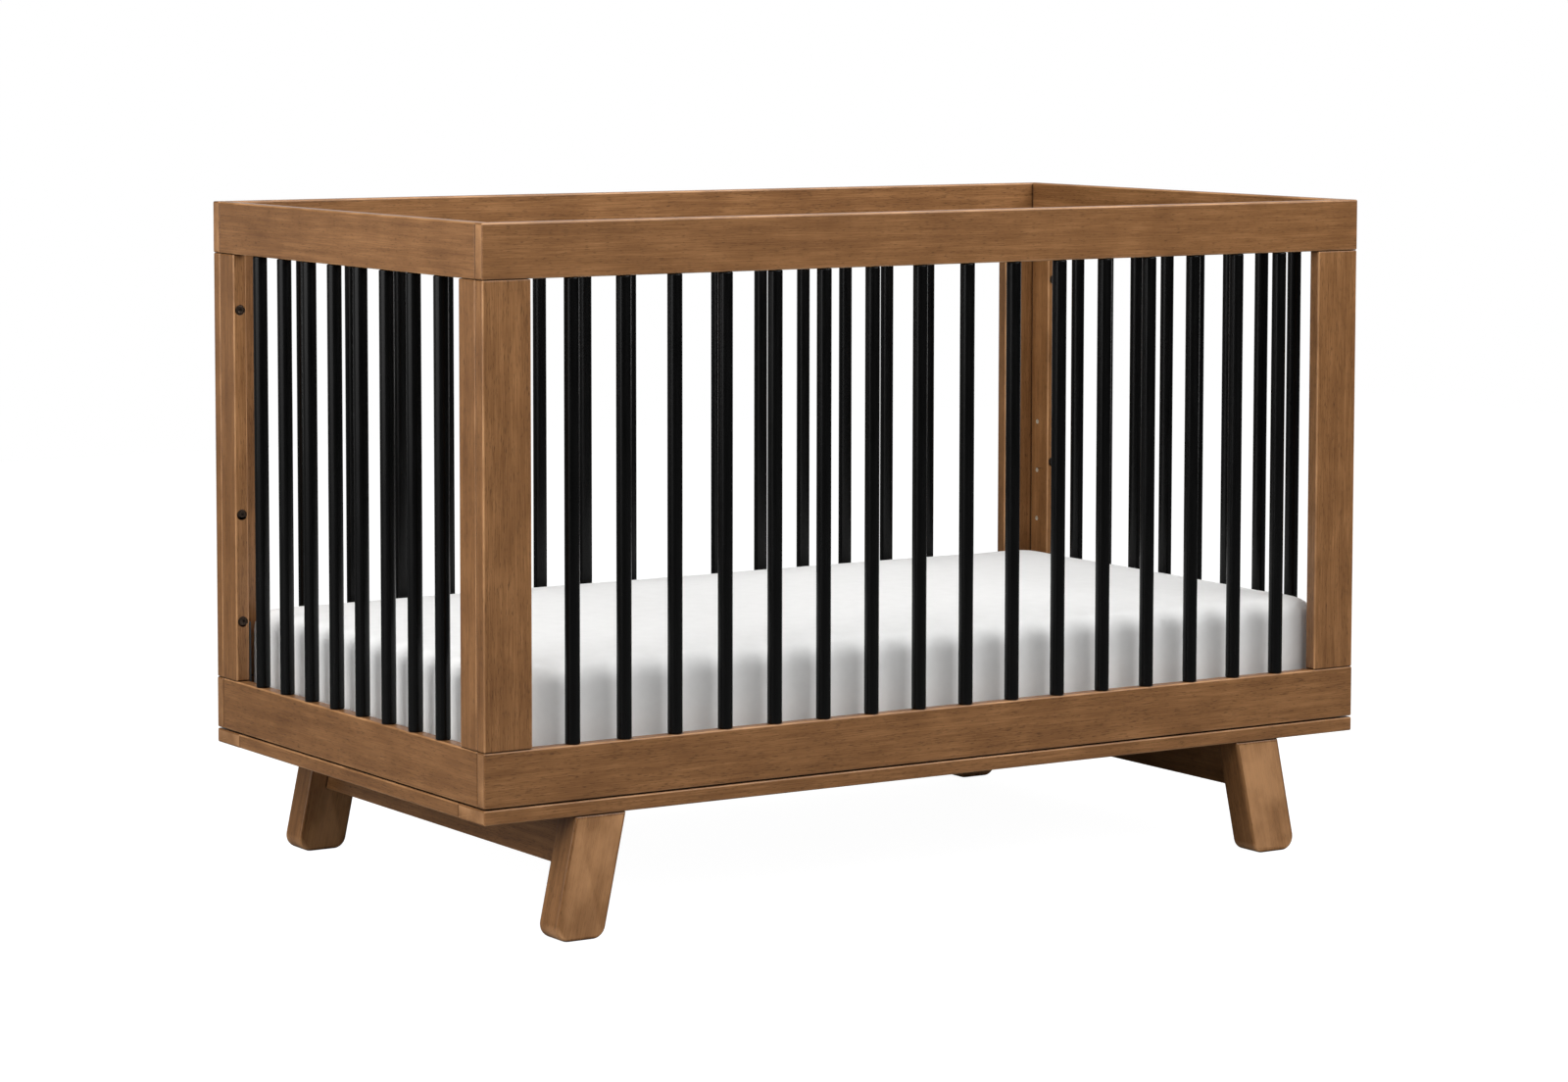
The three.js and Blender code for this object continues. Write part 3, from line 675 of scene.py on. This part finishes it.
def section(s, drop):
    # (how far in from the side, how far down from the top) at arc length s from the core's edge
    e, core = mattress["edge"], mattress["core"]
    a1, a2, a3 = core - e, core - e + math.pi / 2 * e, core - e + math.pi / 2 * e + drop - 2 * e
    a4 = a3 + math.pi / 2 * e
    t1, t2 = np.clip((s - a1) / e, 0, math.pi / 2), np.clip((s - a3) / e, 0, math.pi / 2)
    inward = core - np.minimum(s, a1) - e * np.sin(t1) + e * (1 - np.cos(t2)) + np.maximum(s - a4, 0)
    down = e * (1 - np.cos(t1)) + np.clip(s - a2, 0, a3 - a2) + e * np.sin(t2)
    return inward, down


def skin():
    # the flat cloth's grid, folded over the mattress: inside the core rectangle a point stays where it
    # is, and outside it the larger of its two overhangs is the arc length s down the rim, while their
    # ratio turns the direction round the corner
    hx, hy = halfX - mattress["inset"], halfY - mattress["inset"]
    drop = topZ + mattress["topRise"] - bottomZ
    reach = rimLength(mattress["tuck"], drop)
    rim = np.linspace(0, reach, round(reach / mattress["rimStep"]) + 1)
    coreX, coreY = hx - mattress["core"], hy - mattress["core"]
    midX = np.linspace(-coreX, coreX, round(2 * coreX / mattress["centreStep"]) + 1)
    midY = np.linspace(-coreY, coreY, round(2 * coreY / mattress["centreStep"]) + 1)
    flatX = np.concatenate([-coreX - rim[:0:-1], midX, coreX + rim[1:]])
    flatY = np.concatenate([-coreY - rim[:0:-1], midY, coreY + rim[1:]])
    fx, fy = np.meshgrid(flatX, flatY, indexing="ij")
    cx, cy = np.clip(fx, -coreX, coreX), np.clip(fy, -coreY, coreY)
    ox, oy = np.abs(fx - cx), np.abs(fy - cy)
    s = np.maximum(ox, oy)
    ratio = np.minimum(ox, oy) / np.maximum(s, 1e-9)
    angle = np.where(ox >= oy, ratio * math.pi / 4, math.pi / 2 - ratio * math.pi / 4)
    dx, dy = np.cos(angle), np.sin(angle)
    # distance from the core's corner to the plan outline in that direction: the corner's arc, or the side
    away = mattress["core"] - mattress["corner"]
    side = mattress["core"] / np.maximum(dx, dy)
    dot = away * (dx + dy)
    hit = dot + np.sqrt(np.maximum(dot ** 2 - 2 * away ** 2 + mattress["corner"] ** 2, 0))
    onArc = (side * np.minimum(dx, dy)) > away
    reachOut = np.where(onArc, hit, side)
    inward, down = section(s, drop)
    out = reachOut * (1 - inward / mattress["core"])
    out = np.where(s < 1e-9, 0, out)
    px = cx + np.sign(fx - cx) * out * dx
    py = cy + np.sign(fy - cy) * out * dy
    # the top is crowned by an ellipse each way, c sqrt(1 - x^2) sqrt(1 - y^2), which fades out down the rim
    bowX, bowY = (np.sqrt(np.clip(1 - (q / h) ** 2, 0, 1)) for q, h in ((px, hx), (py, hy)))
    crown = mattress["crown"] * bowX * bowY * np.clip(1 - down / mattress["edge"], 0, None)
    pz = bottomZ + drop - down + crown
    upper = np.stack([px, py, pz], -1)
    # the underside, inside the hem: a flat grid that shares the hem's points
    u = np.linspace(-1, 1, len(flatX))[:, None]
    v = np.linspace(-1, 1, len(flatY))[None, :]
    lower = np.zeros_like(upper)
    blendU, blendV = (u + 1) / 2, (v + 1) / 2
    for k in range(2):
        edge = upper[..., k]
        lower[..., k] = (
            (1 - blendU) * edge[:1, :] + blendU * edge[-1:, :]
            + (1 - blendV) * edge[:, :1] + blendV * edge[:, -1:]
            - (1 - blendU) * (1 - blendV) * edge[0, 0] - blendU * (1 - blendV) * edge[-1, 0]
            - (1 - blendU) * blendV * edge[0, -1] - blendU * blendV * edge[-1, -1])
    lower[..., 2] = bottomZ
    return upper, lower, np.stack([fx, fy], -1)


def gridFaces(nx, ny, index):
    # one quad for each cell of the grid of point numbers
    i, j = np.meshgrid(np.arange(nx - 1), np.arange(ny - 1), indexing="ij")
    return np.stack([index[i, j], index[i + 1, j], index[i + 1, j + 1], index[i, j + 1]], -1).reshape(-1, 4)


upper, lower, flat = skin()
nx, ny = upper.shape[:2]
upperIndex = np.arange(nx * ny).reshape(nx, ny)
lowerIndex = upperIndex.copy()
inner = np.arange((nx - 2) * (ny - 2)).reshape(nx - 2, ny - 2) + nx * ny
lowerIndex[1:-1, 1:-1] = inner
skinPoints = np.concatenate([upper.reshape(-1, 3), lower[1:-1, 1:-1].reshape(-1, 3)])
upperFaces = gridFaces(nx, ny, upperIndex)
lowerFaces = gridFaces(nx, ny, lowerIndex)[:, ::-1]


def clothMesh(name, points, faces, uv):
    # a smooth mesh, in metres, that carries its flat cloth coordinates as a UV map
    mesh = bpy.data.meshes.new(name)
    mesh.from_pydata(points.tolist(), [], faces.tolist())
    layer = mesh.uv_layers.new(name="cloth")
    loops = np.zeros(len(mesh.loops), np.int32)
    mesh.loops.foreach_get("vertex_index", loops)
    layer.data.foreach_set("uv", uv[loops].astype(np.float32).ravel())
    mesh.shade_smooth()
    item = bpy.data.objects.new(name, mesh)
    scene.collection.objects.link(item)
    return item


def inflate(points, faces):
    # air pressure swells the closed skin for a few frames; a soft cap, c tanh(d / c), then limits how
    # far each point may go, and the underside stays on the support
    work = clothMesh("swelling", points * mm, faces, points[:, :2] * mm)
    cloth = work.modifiers.new("Cloth", "CLOTH")
    cloth.settings.quality = 5
    cloth.settings.mass = 0.3
    cloth.settings.use_pressure = True
    cloth.settings.uniform_pressure_force = mattress["pressure"]
    cloth.settings.effector_weights.gravity = 0
    cloth.collision_settings.use_collision = False
    cloth.point_cache.frame_start, cloth.point_cache.frame_end = 1, mattress["frames"]
    for number in range(1, mattress["frames"] + 1):
        scene.frame_set(number)
    result = work.evaluated_get(bpy.context.evaluated_depsgraph_get()).to_mesh()
    moved = np.zeros(len(points) * 3)
    result.vertices.foreach_get("co", moved)
    moved = moved.reshape(-1, 3) / mm
    bpy.data.objects.remove(work)
    scene.frame_set(1)
    step = moved - points
    far = np.linalg.norm(step, axis=1)[:, None]
    return points + step * mattress["cap"] * np.tanh(far / mattress["cap"]) / np.maximum(far, 1e-6)


swollen = inflate(skinPoints, np.concatenate([upperFaces, lowerFaces]))
print("swelling moved points by up to", round(float(np.abs(swollen - skinPoints).max()), 1), "mm")
swollen[:, 2] = np.maximum(swollen[:, 2], bottomZ)
for k, half in ((0, halfX), (1, halfY)):
    swollen[:, k] = np.clip(swollen[:, k], mattress["clear"] - half, half - mattress["clear"])
clothUv = np.concatenate([flat.reshape(-1, 2), lower[1:-1, 1:-1, :2].reshape(-1, 2)]) * mm
pad = clothMesh("crib_mattress", swollen * mm, np.concatenate([upperFaces, lowerFaces]), clothUv)
pad.data.materials.append(ticking)
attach(pad, "mattress")
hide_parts("mattress")

# the sheet is the skin as far as the hem, moved out along its normals
normals = np.zeros(len(swollen) * 3, np.float32)
pad.data.vertices.foreach_get("normal", normals)
normals = normals.reshape(-1, 3)
sheetPoints = (swollen + normals * sheet["offset"])[: nx * ny]
cover = clothMesh("cotton_fitted_sheet", sheetPoints * mm, upperFaces, clothUv[: nx * ny])
cover.data.materials.append(percale)
subdivide = cover.modifiers.new("Smooth", "SUBSURF")
subdivide.levels = subdivide.render_levels = 1
thicken = cover.modifiers.new("Cloth thickness", "SOLIDIFY")
thicken.thickness, thicken.offset = sheet["thickness"] * mm, 1
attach(cover, "mattress")
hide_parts("fitted_sheet")

# elastic hem: a gathered tube that follows the sheet's edge, its radius rippling along the way
loop = np.concatenate([upperIndex[:-1, 0], upperIndex[-1, :-1], upperIndex[:0:-1, -1], upperIndex[0, :0:-1]])
edgeLine = sheetPoints[loop]
ahead = np.roll(edgeLine, -1, 0) - np.roll(edgeLine, 1, 0)
ahead /= np.linalg.norm(ahead, axis=1)[:, None]
outward = np.cross(ahead, [0, 0, 1.0])
a = (np.arange(hemTube["around"]) * math.tau / hemTube["around"])[None, :, None]
wave = np.sin(np.arange(len(loop)) * hemTube["rippleStep"])[:, None, None]
ripple = hemTube["radius"] * (hemTube["share"] + hemTube["ripple"] * wave)
hemPoints = edgeLine[:, None] + ripple * (
    outward[:, None] * hemTube["wide"] * np.cos(a) + np.array([0, 0, 1.0]) * hemTube["high"] * np.sin(a))
hemPoints[..., 2] = np.maximum(hemPoints[..., 2], bottomZ - hemTube["drop"])
shape = Shape()
shape.add(hemPoints * mm, list(rings(len(loop), hemTube["around"], loopBack=True)))
hem = shape.piece("sheet_elastic_hem", percale, "mattress")

# lengths in metres
studio = {"floorSize": 11, "floorDrop": 0.0005, "paper": "#757575", "glow": 0.97, "aim": (0, 0, 0.5)}
bpy.ops.mesh.primitive_plane_add(size=studio["floorSize"], location=(0, 0, -studio["floorDrop"]))
floor = bpy.context.object
floor.name = "studio_floor"
floorMaterial, tree, shader = newMaterial("white_studio_paper")
shader.inputs["Base Color"].default_value = colour(studio["paper"])
shader.inputs["Roughness"].default_value = 0.9
shader.inputs["Emission Color"].default_value = (1, 1, 1, 1)
# overexposed paper: bright to the eye, yet no lamp
glow = addNode(tree, "ShaderNodeMath", {
    0: addNode(tree, "ShaderNodeLightPath").outputs["Is Camera Ray"], 1: studio["glow"]},
    operation="MULTIPLY")
tree.links.new(glow.outputs[0], shader.inputs["Emission Strength"])
floor.data.materials.append(floorMaterial)

world = bpy.data.worlds.new("studio")
scene.world = world
world.use_nodes = True
tree = world.node_tree
direction = addNode(tree, "ShaderNodeTexCoord").outputs["Generated"]
towards = addNode(tree, "ShaderNodeSeparateXYZ", {0: direction}).outputs


def window(value, low, high, level):
    # eases from 0 at low to the level at high
    return addNode(tree, "ShaderNodeMapRange", {
        "Value": value, "From Min": low, "From Max": high, "To Min": 0.0, "To Max": level},
        interpolation_type="SMOOTHSTEP").outputs[0]


def product(first, second):
    return addNode(tree, "ShaderNodeMath", {0: first, 1: second}, operation="MULTIPLY").outputs[0]


# a dark room with a white wall behind the crib, dimmer and lower on the left, and a pale ceiling
behind = window(towards["Y"], 0.1, 0.4, 1.0)
wallRight = product(window(towards["X"], 0.0, 0.4, 1.0), window(towards["Z"], 0.4, 0.12, 0.9))
wallLeft = product(window(towards["X"], 0.2, -0.2, 1.0), window(towards["Z"], 0.12, -0.04, 0.35))
wall = addNode(tree, "ShaderNodeMath", {0: wallRight, 1: wallLeft}, operation="ADD")
room = addNode(tree, "ShaderNodeMath", {
    0: product(behind, wall.outputs[0]), 1: window(towards["Z"], 0.3, 0.6, 0.18)}, operation="ADD")
seen = addNode(tree, "ShaderNodeLightPath").outputs["Is Camera Ray"]
shown = addNode(tree, "ShaderNodeMix", {0: seen, 2: room.outputs[0], 3: 1.0}, data_type="FLOAT")
tree.links.new(shown.outputs[0], tree.nodes["Background"].inputs["Strength"])
tree.nodes["Background"].inputs["Color"].default_value = (1, 1, 1, 1)

# large soft boxes; places and sizes in metres, power in watts
lamps = {
    "overhead": {"at": (1.0, 0.0, 3.6), "size": 2.4, "power": 60},
    "front": {"at": (0.5, -3.8, 2.6), "size": 2.2, "power": 54},
    "frontLeft": {"at": (-1.8, -3.4, 3.0), "size": 2.8, "power": 14},
    "frontRight": {"at": (2.4, -2.8, 3.0), "size": 2.2, "power": 90},
    "left": {"at": (-3.2, -0.3, 1.9), "size": 3.2, "power": 105},
    "leftKey": {"at": (-2.5, -1.9, 2.4), "size": 0.9, "power": 16},
}
for name, lamp in lamps.items():
    data = bpy.data.lights.new(name, "AREA")
    data.shape, data.size, data.energy = "SQUARE", lamp["size"], lamp["power"]
    item = bpy.data.objects.new(name, data)
    item.location = lamp["at"]
    item.rotation_euler = (Vector(studio["aim"]) - item.location).to_track_quat("-Z", "Y").to_euler()
    scene.collection.objects.link(item)

# a long lens from the front left, a little above the top rail
camera = {"at": (-3.2160, -4.9877, 1.1321), "towards": (0.53878, 0.83820, -0.08448), "lens": 100.39,
          "shiftY": -0.095, "roll": math.radians(0.086)}
data = bpy.data.cameras.new("camera")
data.sensor_width, data.lens, data.shift_y = 36, camera["lens"], camera["shiftY"]
data.dof.use_dof = False
data.clip_end = 200
item = bpy.data.objects.new("camera", data)
turn = Vector(camera["towards"]).to_track_quat("-Z", "Y").to_matrix().to_4x4()
item.matrix_world = Matrix.Translation(camera["at"]) @ turn @ Matrix.Rotation(camera["roll"], 4, "Z")
scene.collection.objects.link(item)
scene.camera = item
scene.view_settings.view_transform = "Standard"
scene.view_settings.look = "None"
print("floor, light and camera set")
